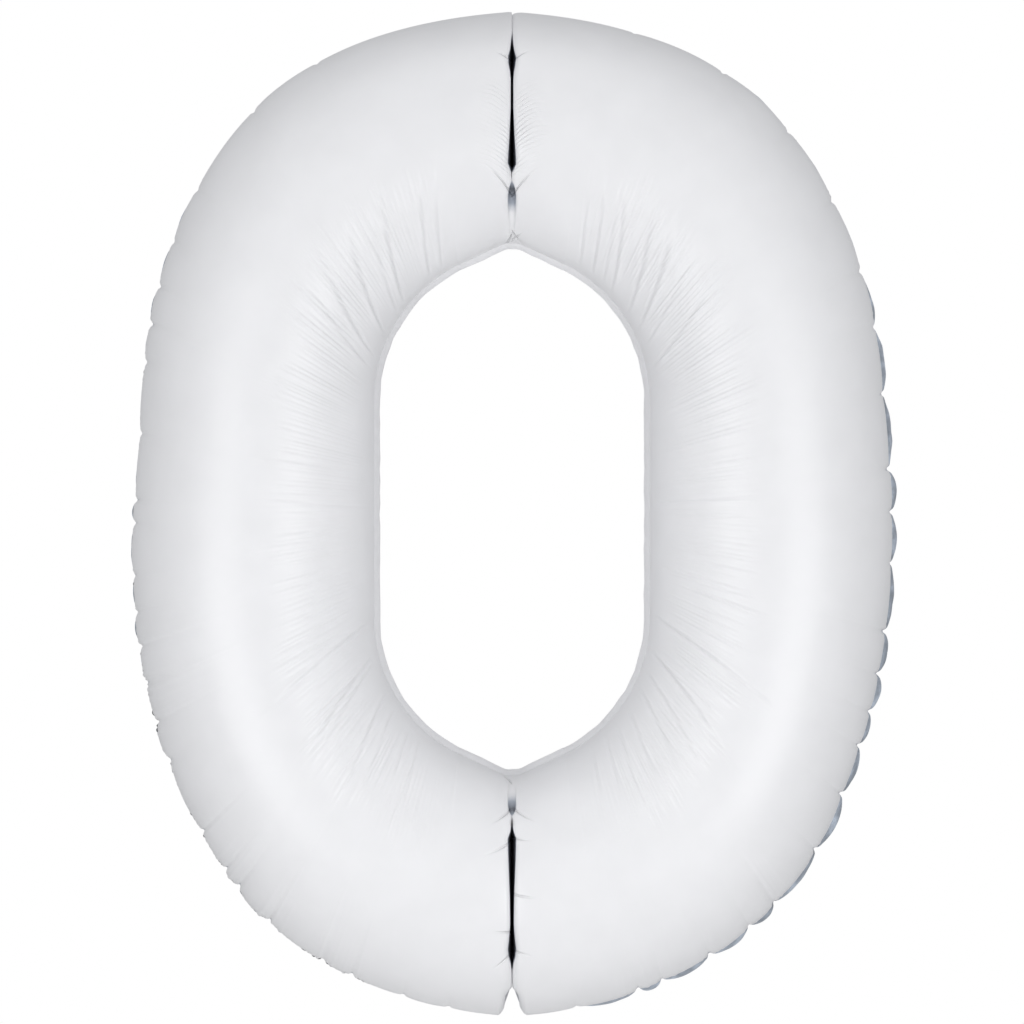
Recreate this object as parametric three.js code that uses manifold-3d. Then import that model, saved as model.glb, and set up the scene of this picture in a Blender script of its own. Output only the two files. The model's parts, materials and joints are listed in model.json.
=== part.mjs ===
// An inflated foil number balloon in the shape of a "0", 860 mm tall.
// Two films are welded together round the outside, round the hole, and across the tube at the
// top and the bottom, so the ring is two lobes pressed against each other.
// Millimetres, +Z up, the front faces -Y, the origin is at the top of the outer seam.
import * as THREE from 'three';
import * as BufferGeometryUtils from 'three/addons/utils/BufferGeometryUtils.js';
import Module from 'manifold-3d';

const wasm = await Module();
wasm.setup();

// Overall size, to the outer edges of the seam.
const overallHeight = 860;
const overallWidth = 655;
const tubeDepth = 200;
const outlinePower = 2.3;

// The clear hole inside its own seam: straight sides, round shoulders, and a roof that rises to
// a point at the top and the bottom.
const holeWidth = 224;
const holeHeight = 450;
const holeRise = 4;
const shoulderRadius = 123;
const roofAngle = THREE.MathUtils.degToRad(26);

// Films and welds. A real film is 0.03 mm thick, which no solid here can be.
const filmWall = 1.2;
const plyGap = 0.3;
const pieceGap = 0.3;
const seamWidth = 8;
const seamFold = THREE.MathUtils.degToRad(55);
const holeSeamWidth = 7;
const slitWidth = 4;

// How a lobe turns in towards the slit: how far from it, and how softly, where 1 is an ellipse
// and less is squarer.
const lobeRounding = 26;
const lobeSoftness = 0.5;

// How much of the top weld is left open under the outer seam.
const gasPassage = 20;

// The filling tail and its valve.
const tailWidth = 40;
const tailLength = 90;
const tailPly = 0.8;
const tailOffset = 38;
const tailClearance = 1.4;
const valveWidth = 24;
const valveLength = 70;
const valvePly = 0.6;

// The hanging tabs.
const tabWidth = 24;
const tabLength = 28;
const tabThickness = 1.2;
const tabHoleRadius = 4;
const tabHoleInset = 9;
const tabOffset = 90;
const tabRootAhead = 0.6;
const tabLean = THREE.MathUtils.degToRad(10);

// How finely the round stretches are divided.
const lobeStations = 18;
const capStations = 4;
const sectionSteps = 10;
const seamStations = 112;
const arcSteps = 12;

const right = new THREE.Vector3(1, 0, 0);
const back = new THREE.Vector3(0, 1, 0);
const up = new THREE.Vector3(0, 0, 1);

const seamThickness = 2 * filmWall;
const seamShoulder = (seamThickness / 2) * Math.sin(seamFold);
const seamRoot = pieceGap + seamShoulder;
const seamReach = seamRoot + seamWidth * Math.cos(seamFold) + seamShoulder;
const holeSeamReach = seamRoot + holeSeamWidth * Math.cos(seamFold) + seamShoulder;
const filmHalfWidth = overallWidth / 2 - seamReach;
const filmHalfHeight = overallHeight / 2 - seamReach;
const centreZ = -overallHeight / 2;
const inflation = tubeDepth / 2 - filmWall - plyGap / 2;
const slitHalf = slitWidth / 2;

// A tab turns about a line just behind the folded edge of the seam.
const seamBack = seamWidth * Math.sin(seamFold) + (seamThickness / 2) * Math.cos(seamFold);
const tabRootY = seamBack + pieceGap + 2 * tabRootAhead;
const tabRootZ = seamRoot + seamWidth * Math.cos(seamFold) - seamThickness / 2;

// The film's edge at the hole. The shoulder's circle touches the side and the roof.
const holeHalfWidth = holeWidth / 2 + holeSeamReach;
const holeHalfHeight = holeHeight / 2 + holeSeamReach / Math.cos(roofAngle);
const filmShoulder = shoulderRadius + holeSeamReach;
const shoulderX = holeHalfWidth - filmShoulder;
const shoulderZ = holeHalfHeight - shoulderX * Math.tan(roofAngle) - filmShoulder / Math.cos(roofAngle);
const shoulderStartX = shoulderX + filmShoulder * Math.sin(roofAngle);

// The bottom of the tube on the centre line. The filling tail follows a circle that touches it
// and holds all of the tube's section, which is an ellipse.
const tubeHalfHeight = (filmHalfHeight - holeHalfHeight + holeRise) / 2;
const tailRadius = Math.max(tubeHalfHeight, tubeDepth ** 2 / 4 / tubeHalfHeight) + tailClearance;
const tailCircleZ = centreZ - filmHalfHeight - tailClearance + tailRadius;

function outlineHeightAt(x) {
  const share = 1 - (Math.abs(x) / filmHalfWidth) ** outlinePower;
  return filmHalfHeight * share ** (1 / outlinePower);
}

function holeHeightAt(x) {
  if (Math.abs(x) < shoulderStartX) return holeHalfHeight - Math.abs(x) * Math.tan(roofAngle);
  return shoulderZ + Math.sqrt(filmShoulder ** 2 - (Math.abs(x) - shoulderX) ** 2);
}

// One quarter of the outer outline, from x at the top round to the side.
class OutlineQuarter extends THREE.Curve {
  constructor(startX) {
    super();
    this.startAngle = Math.asin((startX / filmHalfWidth) ** (outlinePower / 2));
  }

  getPoint(t, target = new THREE.Vector2()) {
    const angle = this.startAngle + t * (Math.PI / 2 - this.startAngle);
    const x = filmHalfWidth * Math.sin(angle) ** (2 / outlinePower);
    const z = filmHalfHeight * Math.max(Math.cos(angle), 0) ** (2 / outlinePower);
    return target.set(x, z);
  }
}

// The same quarter of the hole's outline.
function holeQuarter(startX) {
  const path = new THREE.Path();
  path.moveTo(startX, holeHeightAt(startX));
  if (startX < shoulderStartX) path.lineTo(shoulderStartX, holeHeightAt(shoulderStartX));
  const firstAngle = Math.acos((Math.max(startX, shoulderStartX) - shoulderX) / filmShoulder);
  path.absarc(shoulderX, shoulderZ, filmShoulder, firstAngle, 0, true);
  path.lineTo(holeHalfWidth, 0);
  return path;
}

// Stations across the tube over a quarter of the ring. Each has a point on the outline, a point
// on the hole's edge, and how far the film is inflated there, from 0 at the weld to 1.
function quarterStations(inset) {
  const stations = [];
  for (let i = 0; i < capStations; i += 1) {
    const angle = (i / capStations) * (Math.PI / 2);
    const x = slitHalf + inset + (lobeRounding - inset) * (1 - Math.cos(angle) ** lobeSoftness);
    stations.push({
      outer: new THREE.Vector2(x, outlineHeightAt(x)),
      hole: new THREE.Vector2(x, holeHeightAt(x) + holeRise),
      fullness: Math.sin(angle) ** lobeSoftness,
    });
  }
  const outline = new OutlineQuarter(slitHalf + lobeRounding);
  const hole = holeQuarter(slitHalf + lobeRounding);
  for (let i = 0; i <= lobeStations; i += 1) {
    const holePoint = hole.getPointAt(i / lobeStations);
    stations.push({
      outer: outline.getPointAt(i / lobeStations),
      hole: new THREE.Vector2(holePoint.x, holePoint.y + holeRise),
      fullness: 1,
    });
  }
  return stations;
}

// The four quarters in turn, clockwise from the top of the right lobe.
function ringStations(inset) {
  const upper = quarterStations(inset);
  const lower = quarterStations(inset).map((station) => ({
    outer: new THREE.Vector2(station.outer.x, -station.outer.y),
    hole: new THREE.Vector2(station.hole.x, 2 * holeRise - station.hole.y),
    fullness: station.fullness,
  }));
  const rightHalf = [...upper, ...lower.slice(0, -1).reverse()];
  const leftHalf = rightHalf.map((station) => ({
    outer: new THREE.Vector2(-station.outer.x, station.outer.y),
    hole: new THREE.Vector2(-station.hole.x, station.hole.y),
    fullness: station.fullness,
  }));
  return [...rightHalf, ...leftHalf.reverse()];
}

// Joins closed sections, each with the same number of points, into one closed solid.
// A ring's last section meets its first; otherwise both ends are closed by a fan.
function loft(sections, isRing) {
  const count = sections[0].length;
  const points = sections.flat();
  const triangles = [];
  const spans = isRing ? sections.length : sections.length - 1;
  for (let i = 0; i < spans; i += 1) {
    const here = i * count;
    const next = ((i + 1) % sections.length) * count;
    for (let j = 0; j < count; j += 1) {
      const k = (j + 1) % count;
      triangles.push([here + j, next + j, here + k]);
      triangles.push([here + k, next + j, next + k]);
    }
  }
  if (!isRing) {
    const last = (sections.length - 1) * count;
    for (let j = 1; j < count - 1; j += 1) {
      triangles.push([0, j, j + 1]);
      triangles.push([last, last + j + 1, last + j]);
    }
  }
  const volume = triangles.reduce((sum, [a, b, c]) => {
    const cross = points[b].clone().cross(points[c]);
    return sum + points[a].dot(cross);
  }, 0);
  if (volume < 0) triangles.forEach((triangle) => triangle.reverse());
  const geometry = new THREE.BufferGeometry().setFromPoints(points);
  geometry.setIndex(triangles.flat());
  return geometry;
}

function toManifold(geometry) {
  const bare = geometry.clone();
  bare.deleteAttribute('normal');
  bare.deleteAttribute('uv');
  const merged = BufferGeometryUtils.mergeVertices(bare, 1e-4);
  const mesh = new wasm.Mesh({
    numProp: 3,
    vertProperties: Float32Array.from(merged.getAttribute('position').array),
    triVerts: Uint32Array.from(merged.getIndex().array),
  });
  return new wasm.Manifold(mesh);
}

function fromManifold(solid) {
  const mesh = solid.getMesh();
  const geometry = new THREE.BufferGeometry();
  geometry.setAttribute('position', new THREE.Float32BufferAttribute(mesh.vertProperties, 3));
  geometry.setIndex(new THREE.Uint32BufferAttribute(mesh.triVerts, 1));
  return geometry;
}

function cutAway(geometry, cutters) {
  let solid = toManifold(geometry);
  for (const cutter of cutters) {
    solid = solid.subtract(toManifold(cutter));
  }
  return fromManifold(solid);
}

function boxBetween(low, high) {
  const size = high.clone().sub(low);
  const middle = high.clone().add(low).multiplyScalar(0.5);
  return new THREE.BoxGeometry(size.x, size.y, size.z).translate(middle.x, middle.y, middle.z);
}

// Where each centre weld lies: across the whole tube, except that the top one stops short of the
// outer seam, which leaves the passage that lets gas into the far lobe.
const topWeld = {
  low: centreZ + holeRise + holeHalfHeight,
  high: centreZ + filmHalfHeight - gasPassage,
};
const bottomWeld = {
  low: centreZ - filmHalfHeight,
  high: centreZ + holeRise - holeHalfHeight,
};

// side is -1 for the front film and +1 for the back one.
function filmGeometry(side) {
  const outside = ringStations(0);
  const inside = ringStations(filmWall);
  const sections = outside.map((station, index) => {
    const skin = filmArc(station, side, 0);
    const lining = filmArc({ ...inside[index], fullness: station.fullness }, side, filmWall);
    return [...skin, ...lining.reverse()];
  });
  const ring = loft(sections, true);
  const slot = (weld, lowMargin, highMargin) => boxBetween(
    new THREE.Vector3(-slitHalf, -tubeDepth, weld.low - lowMargin),
    new THREE.Vector3(slitHalf, tubeDepth, weld.high + highMargin),
  );
  return cutAway(ring, [slot(topWeld, seamWidth, 0), slot(bottomWeld, seamWidth, seamWidth)]);
}

// The film's curve over one station, from the outline to the hole's edge.
function filmArc(station, side, inset) {
  const middle = station.outer.clone().add(station.hole).multiplyScalar(0.5);
  const halfSpan = station.outer.clone().sub(middle);
  halfSpan.setLength(halfSpan.length() - inset);
  const points = [];
  for (let i = 0; i <= sectionSteps; i += 1) {
    const angle = (i / sectionSteps) * Math.PI;
    const plan = middle.clone().addScaledVector(halfSpan, Math.cos(angle));
    const lift = inflation * station.fullness * Math.sin(angle);
    const depth = plyGap / 2 + (filmWall - inset) + lift;
    points.push(new THREE.Vector3(plan.x, side * depth, centreZ + plan.y));
  }
  return points;
}

// A welded margin: a strip that stands off an edge and is folded back. outward points away from
// the film, across the edge.
function seamSection(edge, outward, width) {
  const cos = Math.cos(seamFold);
  const sin = Math.sin(seamFold);
  const along = outward.clone().multiplyScalar(cos).addScaledVector(back, sin);
  const across = outward.clone().multiplyScalar(-sin).addScaledVector(back, cos);
  const root = edge.clone().addScaledVector(outward, seamRoot);
  const tip = root.clone().addScaledVector(along, width);
  const half = seamThickness / 2;
  return [
    root.clone().addScaledVector(across, -half),
    tip.clone().addScaledVector(across, -half),
    tip.clone().addScaledVector(across, half),
    root.clone().addScaledVector(across, half),
  ];
}

// Away from the ring, for points that run clockwise as seen from the front.
function outwardAt(points, index) {
  const before = points[Math.max(index - 1, 0)];
  const after = points[Math.min(index + 1, points.length - 1)];
  return after.clone().sub(before).cross(back).normalize();
}

// Points round the outline, clockwise from one edge of the filling tail to the other.
function outlinePoints() {
  const quarter = new OutlineQuarter(0);
  const quarterCount = seamStations / 4;
  const points = [];
  for (let i = 0; i < seamStations; i += 1) {
    const turn = Math.floor(i / quarterCount);
    const share = (i % quarterCount) / quarterCount;
    const point = quarter.getPointAt(turn % 2 === 0 ? share : 1 - share);
    const sideX = turn < 2 ? 1 : -1;
    const sideZ = turn === 0 || turn === 3 ? 1 : -1;
    points.push(new THREE.Vector3(sideX * point.x, 0, centreZ + sideZ * point.y));
  }
  return points;
}

function outerSeamGeometry() {
  const ring = outlinePoints();
  const neckHalf = tailWidth / 2 + pieceGap;
  const isNeck = (point) => point.z < centreZ && Math.abs(point.x - tailOffset) < neckHalf;
  const first = ring.findIndex(isNeck);
  const neckPoint = (x) => new THREE.Vector3(x, 0, centreZ - outlineHeightAt(x));
  const turned = [...ring.slice(first), ...ring.slice(0, first)].filter((point) => !isNeck(point));
  const points = [neckPoint(tailOffset - neckHalf), ...turned, neckPoint(tailOffset + neckHalf)];
  const section = (point, index) => seamSection(point, outwardAt(points, index), seamWidth);
  return loft(points.map(section), false);
}

// The hole's margin points towards the middle of the hole. Where the roof comes to a point, the
// two sides of the margin meet in a mitre.
function holeSeamGeometry() {
  const quarter = holeQuarter(0);
  const steps = seamStations / 4;
  const sections = [];
  for (let turn = 0; turn < 4; turn += 1) {
    const sideX = turn < 2 ? 1 : -1;
    const sideZ = turn === 0 || turn === 3 ? 1 : -1;
    for (let i = 0; i < steps; i += 1) {
      const share = turn % 2 === 0 ? i / steps : 1 - i / steps;
      const point = quarter.getPointAt(share);
      const tangent = quarter.getTangentAt(share);
      const edge = new THREE.Vector3(sideX * point.x, 0, centreZ + holeRise + sideZ * point.y);
      const inward = new THREE.Vector3(sideX * tangent.y, 0, -sideZ * tangent.x);
      const isApex = share === 0;
      if (isApex) inward.set(0, 0, -sideZ / Math.cos(roofAngle));
      sections.push(seamSection(edge, inward, holeSeamWidth));
    }
  }
  return loft(sections, true);
}

function weldGeometry(weld) {
  const half = filmWall + plyGap / 2;
  return boxBetween(
    new THREE.Vector3(-slitHalf + pieceGap, -half, weld.low + pieceGap),
    new THREE.Vector3(slitHalf - pieceGap, half, weld.high - pieceGap),
  );
}

// An outline in XY made into a plate that lies half on each side of it.
function plate(outline, thickness) {
  const options = { depth: thickness, bevelEnabled: false, curveSegments: arcSteps };
  return new THREE.ExtrudeGeometry(outline, options).translate(0, 0, -thickness / 2);
}

// One ply of the filling tail, which lies folded up against the back film. It is a band of a
// cylinder about the middle of the tube, from below the seam round towards the back.
function tailPlyGeometry(layer) {
  const inner = tailRadius + layer * (tailPly + plyGap);
  const turn = tailLength / tailRadius;
  const band = new THREE.Shape();
  band.absarc(0, 0, inner + tailPly, -Math.PI / 2, turn - Math.PI / 2, false);
  band.absarc(0, 0, inner, turn - Math.PI / 2, -Math.PI / 2, true);
  return plate(band, tailWidth);
}

// A valve ply hangs inside the lobe above the tail's mouth. side is -1 in front and +1 behind.
function valvePlyGeometry(side) {
  const near = side * (plyGap / 2);
  const far = side * (plyGap / 2 + valvePly);
  const foot = centreZ - outlineHeightAt(tailOffset + valveWidth / 2) + 2 * filmWall + pieceGap;
  return boxBetween(
    new THREE.Vector3(tailOffset - valveWidth / 2, Math.min(near, far), foot),
    new THREE.Vector3(tailOffset + valveWidth / 2, Math.max(near, far), foot + valveLength),
  );
}

// A tab lies flat in its own frame: its root along X, its tip towards +Y.
function tabGeometry() {
  const half = tabWidth / 2;
  const outline = new THREE.Shape();
  outline.moveTo(-half, -tabRootAhead);
  outline.lineTo(half, -tabRootAhead);
  outline.lineTo(half, tabLength - half);
  outline.absarc(0, tabLength - half, half, 0, Math.PI, false);
  outline.closePath();
  const hole = new THREE.Path();
  hole.absarc(0, tabLength - tabHoleInset, tabHoleRadius, 0, 2 * Math.PI, true);
  outline.holes.push(hole);
  return plate(outline, tabThickness);
}

function piece(name, geometry, color, roughness, metalness) {
  const material = new THREE.MeshStandardMaterial({ color, roughness, metalness });
  const mesh = new THREE.Mesh(geometry, material);
  mesh.name = name;
  return mesh;
}

const whiteFilm = [0xededf0, 0.42, 0.0];
const weldedFilm = [0xaab3c0, 0.34, 0.6];
const clearPly = [0xd8dde2, 0.5, 0.0];

function films() {
  const group = new THREE.Group();
  group.add(piece('front_film', filmGeometry(-1), ...whiteFilm));
  group.add(piece('back_film', filmGeometry(1), ...whiteFilm));
  return group;
}

function welds() {
  const group = new THREE.Group();
  group.add(piece('outer_seam', outerSeamGeometry(), ...weldedFilm));
  group.add(piece('hole_seam', holeSeamGeometry(), ...whiteFilm));
  group.add(piece('top_centre_weld', weldGeometry(topWeld), ...weldedFilm));
  group.add(piece('bottom_centre_weld', weldGeometry(bottomWeld), ...weldedFilm));
  return group;
}

// The tail's band is drawn in XY and extruded along Z. It is turned so that those become YZ and X.
function fillingTail() {
  const group = new THREE.Group();
  group.position.set(tailOffset, 0, tailCircleZ);
  const turned = new THREE.Matrix4().makeBasis(back, up, right);
  group.quaternion.setFromRotationMatrix(turned);
  group.add(piece('filling_tail_back_ply', tailPlyGeometry(0), ...whiteFilm));
  group.add(piece('filling_tail_front_ply', tailPlyGeometry(1), ...whiteFilm));
  return group;
}

function valve() {
  const group = new THREE.Group();
  group.add(piece('valve_front_ply', valvePlyGeometry(-1), ...clearPly));
  group.add(piece('valve_back_ply', valvePlyGeometry(1), ...clearPly));
  return group;
}

// A tab's root follows the slope of the outline and clears the folded edge of the seam.
function hangTab(name, x) {
  const slope = Math.atan(
    (Math.abs(x) / filmHalfWidth) ** (outlinePower - 1)
    * (outlineHeightAt(x) / filmHalfHeight) ** (1 - outlinePower)
    * (filmHalfHeight / filmHalfWidth),
  );
  const group = new THREE.Group();
  group.position.set(x, 0, centreZ + outlineHeightAt(x));
  group.rotation.y = Math.sign(x) * slope;
  const tab = piece(name, tabGeometry(), ...whiteFilm);
  tab.position.set(0, tabRootY, tabRootZ);
  tab.rotation.x = -tabLean;
  group.add(tab);
  return group;
}

const balloon = new THREE.Group();
balloon.add(films(), welds(), fillingTail(), valve());
balloon.add(hangTab('hang_tab_left', -tabOffset), hangTab('hang_tab_right', tabOffset));

export default balloon;
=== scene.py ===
"""An inflated foil number balloon, built round the CAD model of its films, welds and tabs.

Metres. +Z runs up the numeral, the front faces -Y, and the origin is at the top of the outer seam.
"""

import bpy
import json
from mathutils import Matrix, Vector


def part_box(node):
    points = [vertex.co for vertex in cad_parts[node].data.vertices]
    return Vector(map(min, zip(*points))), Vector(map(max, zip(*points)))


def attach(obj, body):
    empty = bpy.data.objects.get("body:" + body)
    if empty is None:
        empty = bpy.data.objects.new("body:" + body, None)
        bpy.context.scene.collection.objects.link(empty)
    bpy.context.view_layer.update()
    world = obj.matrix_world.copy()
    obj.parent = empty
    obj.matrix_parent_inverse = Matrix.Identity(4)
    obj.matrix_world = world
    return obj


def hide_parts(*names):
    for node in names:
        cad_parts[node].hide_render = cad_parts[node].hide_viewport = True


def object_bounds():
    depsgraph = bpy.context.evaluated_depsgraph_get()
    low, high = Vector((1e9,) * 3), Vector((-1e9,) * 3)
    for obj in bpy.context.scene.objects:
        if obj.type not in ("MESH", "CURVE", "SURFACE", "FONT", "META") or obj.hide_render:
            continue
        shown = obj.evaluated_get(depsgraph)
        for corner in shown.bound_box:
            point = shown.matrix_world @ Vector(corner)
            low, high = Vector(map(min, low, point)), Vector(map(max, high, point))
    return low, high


bl_info = {
    "name": "Foil Number Balloon",
    "version": (1, 0, 0),
    "blender": (4, 5, 0),
    "location": "View3D > Sidebar > Balloon",
    "description": "Builds the films, welded margins, filling tail and tabs of a foil number balloon",
    "category": "Add Mesh",
}

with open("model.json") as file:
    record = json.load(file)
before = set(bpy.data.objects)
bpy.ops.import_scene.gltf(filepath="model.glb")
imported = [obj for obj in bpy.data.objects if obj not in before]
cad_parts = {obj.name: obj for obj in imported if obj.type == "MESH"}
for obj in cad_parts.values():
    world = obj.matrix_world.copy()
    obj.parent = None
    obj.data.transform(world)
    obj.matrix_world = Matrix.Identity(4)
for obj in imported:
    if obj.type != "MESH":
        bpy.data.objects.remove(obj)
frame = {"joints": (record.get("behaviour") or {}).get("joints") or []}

import json
import math

import bpy
import numpy as np
from bpy.props import FloatProperty, FloatVectorProperty, IntProperty, PointerProperty
from mathutils import Vector

CAD_LOW, CAD_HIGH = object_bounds()
FILM_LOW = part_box("front_film")[0]
HOLE_LOW, HOLE_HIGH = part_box("hole_seam")
TOP_WELD_LOW, TOP_WELD_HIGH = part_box("top_centre_weld")
BOTTOM_WELD_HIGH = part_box("bottom_centre_weld")[1]

MM = 0.001

# The films stop just inside the model's sides and ends, which leaves room for their swellings.
SIDE_ROOM = 2.5 * MM
END_ROOM = 0.5 * MM
HALF_WIDTH = CAD_HIGH.x - SIDE_ROOM
HALF_HEIGHT = (CAD_HIGH.z - CAD_LOW.z) / 2 - END_ROOM
CENTRE_Z = (CAD_HIGH.z + CAD_LOW.z) / 2
DEPTH = -FILM_LOW.y
HOLE_HALF_WIDTH = HOLE_HIGH.x
HOLE_HALF_HEIGHT = (HOLE_HIGH.z - HOLE_LOW.z) / 2
HOLE_RISE = (HOLE_HIGH.z + HOLE_LOW.z) / 2 - CENTRE_Z
FRONT = -1
BACK = 1


# ---------------------------------------------------------------- what a user can change

class BalloonShape(bpy.types.PropertyGroup):
    top_power: FloatProperty(
        name="Top power", description="Upper half of the outline: 2 is an ellipse, more is squarer",
        default=2.35, min=2, max=4)
    bottom_power: FloatProperty(
        name="Bottom power", description="Lower half of the outline: 2 is an ellipse, more is squarer",
        default=2.2, min=2, max=4)
    crown_fall: FloatProperty(
        name="Crown fall", description="How far the lobes slope off beside the slits",
        default=0.0052, unit="LENGTH")
    shoulder_radius: FloatProperty(
        name="Shoulder radius", description="Radius of the film's edge at the hole's shoulders",
        default=0.1293, unit="LENGTH")
    roof_angle: FloatProperty(
        name="Roof angle", description="Slope of the hole's pointed top and bottom",
        default=math.radians(26), subtype="ANGLE")
    point_rounding: FloatProperty(
        name="Point rounding", description="How blunt the hole's points at the top and bottom are",
        default=0.008, unit="LENGTH")
    lobe_end: FloatProperty(
        name="Lobe end", description="Length of film beside a slit that has rows of its own",
        default=0.030, unit="LENGTH")
    lip_radius: FloatProperty(
        name="Lip radius", description="How sharply a lobe turns into the slit",
        default=0.005, unit="LENGTH")
    rows: IntProperty(
        name="Rows", description="Rows of film between a slit and the side of the numeral", default=384)
    columns: IntProperty(
        name="Columns", description="Rows of film from the outline to the hole", default=56)


class BalloonWrinkles(bpy.types.PropertyGroup):
    pucker_height: FloatProperty(
        name="Pucker height", description="How far the film swells between two tucks of the outer seam",
        default=0.0040, unit="LENGTH")
    edge_height: FloatProperty(
        name="Edge wrinkle height", description="Height of the fine wrinkles beside the tucks",
        default=0.0032, unit="LENGTH")
    ripple_height: FloatProperty(
        name="Ripple height", description="Height of the fine ripples round the hole",
        default=0.00075, unit="LENGTH")
    ripple_pitch: FloatProperty(
        name="Ripple pitch", description="Mean distance between ripples", default=0.0044, unit="LENGTH")
    crease_depth: FloatProperty(
        name="Crease depth", description="Depth of the single long creases", default=0.0016,
        unit="LENGTH")
    slit_crease_depth: FloatProperty(
        name="Slit crease depth", description="Depth of the creases that run out from the slits",
        default=0.0012, unit="LENGTH")
    swell: FloatProperty(
        name="Swell", description="Height of the broad unevenness of the film", default=0.0009,
        unit="LENGTH")


class BalloonFinish(bpy.types.PropertyGroup):
    film_colour: FloatVectorProperty(
        name="Film colour", description="Coated side of the film", subtype="COLOR", size=3,
        min=0, max=1, default=(0.86, 0.86, 0.875))
    rim_colour: FloatVectorProperty(
        name="Rim colour", description="Welded margin round the hole", subtype="COLOR", size=3,
        min=0, max=1, default=(0.79, 0.79, 0.805))
    # Colour of the painted shade deep in the slits and in the tucks of the outer seam.
    painted_shade_colour: FloatVectorProperty(
        name="Painted shade colour", description="Painted shade at tucks and inside the slits",
        subtype="COLOR", size=3, min=0, max=1, default=(0.11, 0.113, 0.13))
    # Dark blue-grey painted shade for the welded margins and the welds deep in the slits.
    margin_shade_colour: FloatVectorProperty(
        name="Margin shade colour", description="Welded margin round the outside", subtype="COLOR", size=3,
        min=0, max=1, default=(0.42, 0.47, 0.54))
    roughness: FloatProperty(
        name="Film roughness", description="Satin coat", default=0.36, min=0, max=1, subtype="FACTOR")


class BalloonStudio(bpy.types.PropertyGroup):
    distance: FloatProperty(
        name="Camera distance", description="From the middle of the balloon", default=5.0, unit="LENGTH")
    key_power: FloatProperty(
        name="Key power", description="Each soft box in front", default=23.5, min=0, unit="POWER")
    overhead_power: FloatProperty(
        name="Overhead power", description="Soft box above", default=9, min=0, unit="POWER")
    rear_power: FloatProperty(
        name="Rear power", description="Soft box behind", default=60, min=0, unit="POWER")
    floor_drop: FloatProperty(
        name="Floor drop", description="Height of the balloon above the floor", default=1.4,
        unit="LENGTH")
    fill_light: FloatProperty(name="Fill", description="Light from all round", default=0.49, min=0)


def shape():
    return bpy.context.scene.balloon_shape


def wrinkles():
    return bpy.context.scene.balloon_wrinkles


def finish():
    return bpy.context.scene.balloon_finish


def studio():
    return bpy.context.scene.balloon_studio


# ---------------------------------------------------------------- curves and noise

def smooth(low, high, value):
    share = np.clip((value - low) / (high - low), 0, 1)
    return share * share * (3 - 2 * share)


def unit(vectors):
    return vectors / np.linalg.norm(vectors, axis=1, keepdims=True)


def run_along(points):
    steps = np.linalg.norm(np.diff(points, axis=0), axis=1)
    return np.concatenate([[0], np.cumsum(steps)])


def even_points(points, count):
    """count points at even distances along a polyline."""
    run = run_along(points)
    places = np.linspace(0, run[-1], count)
    return np.stack([np.interp(places, run, points[:, k]) for k in range(2)], axis=1)


def wander(run, count, seed):
    """A value from -1 to 1 that changes at random along a length."""
    random = np.random.default_rng(seed)
    return np.interp(run, np.linspace(0, run[-1], count), random.uniform(-1, 1, count))


def breaks(length, pitch, seed):
    """Uneven places along a length, a pitch apart on the whole."""
    random = np.random.default_rng(seed)
    gaps = pitch * random.uniform(0.62, 1.45, int(length / pitch * 1.8))
    places = np.cumsum(gaps)
    return np.concatenate([[0], places[places < length - 0.5 * pitch], [length]])


def pillows(run, places, seed, low, high, power):
    """Rounded swellings between breaks, each of its own height."""
    heights = np.random.default_rng(seed).uniform(low, high, len(places))
    index = np.clip(np.searchsorted(places, run, side="right") - 1, 0, len(places) - 2)
    share = (run - places[index]) / (places[index + 1] - places[index])
    return heights[index] * (1 - np.abs(2 * share - 1) ** power)


# ---------------------------------------------------------------- the numeral's outline

CROWN_REACH = 210 * MM
OUTLINE_STEPS = 4000
ROOF_STEPS = 80
ARC_STEPS = 400
WALL_ROWS = 9
LIP_ROWS = 27


def crown(x):
    """How far the outline lies below its superellipse, beside the slit."""
    return shape().crown_fall * np.sin(math.pi * np.clip(np.abs(x) / CROWN_REACH, 0, 1))


def outline_height(x, power):
    share = 1 - np.minimum(np.abs(x) / HALF_WIDTH, 1) ** power
    return HALF_HEIGHT * share ** (1 / power) - crown(x)


def outline_quarter(start_x, count, power):
    start = math.asin((start_x / HALF_WIDTH) ** (power / 2))
    angle = np.linspace(start, math.pi / 2, OUTLINE_STEPS)
    x = HALF_WIDTH * np.sin(angle) ** (2 / power)
    z = HALF_HEIGHT * np.maximum(np.cos(angle), 0) ** (2 / power) - crown(x)
    return even_points(np.stack([x, z], axis=1), count)


def shoulder():
    """Centre of the shoulder's circle, its radius, and where the roof meets it."""
    radius = shape().shoulder_radius
    slope = shape().roof_angle
    x = HOLE_HALF_WIDTH - radius
    z = HOLE_HALF_HEIGHT - x * math.tan(slope) - radius / math.cos(slope)
    return x, z, radius, x + radius * math.sin(slope)


def hole_height(x):
    centre_x, centre_z, radius, roof_end = shoulder()
    roof = HOLE_HALF_HEIGHT - np.hypot(x, shape().point_rounding) * math.tan(shape().roof_angle)
    across = np.minimum((np.abs(x) - centre_x) / radius, 1)
    arc = centre_z + radius * np.sqrt(1 - across ** 2)
    return np.where(np.abs(x) < roof_end, roof, arc)


def hole_quarter(start_x, count):
    centre_x, centre_z, radius, roof_end = shoulder()
    slope = np.linspace(start_x, 0.999 * roof_end, ROOF_STEPS)
    roof = np.stack([slope, hole_height(slope)], axis=1)
    angle = np.linspace(math.pi / 2 - shape().roof_angle, 0, ARC_STEPS)
    arc = np.stack([centre_x + radius * np.cos(angle), centre_z + radius * np.sin(angle)], axis=1)
    side = np.array([[HOLE_HALF_WIDTH, 0]])
    return even_points(np.concatenate([roof, arc[1:], side]), count)


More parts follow.
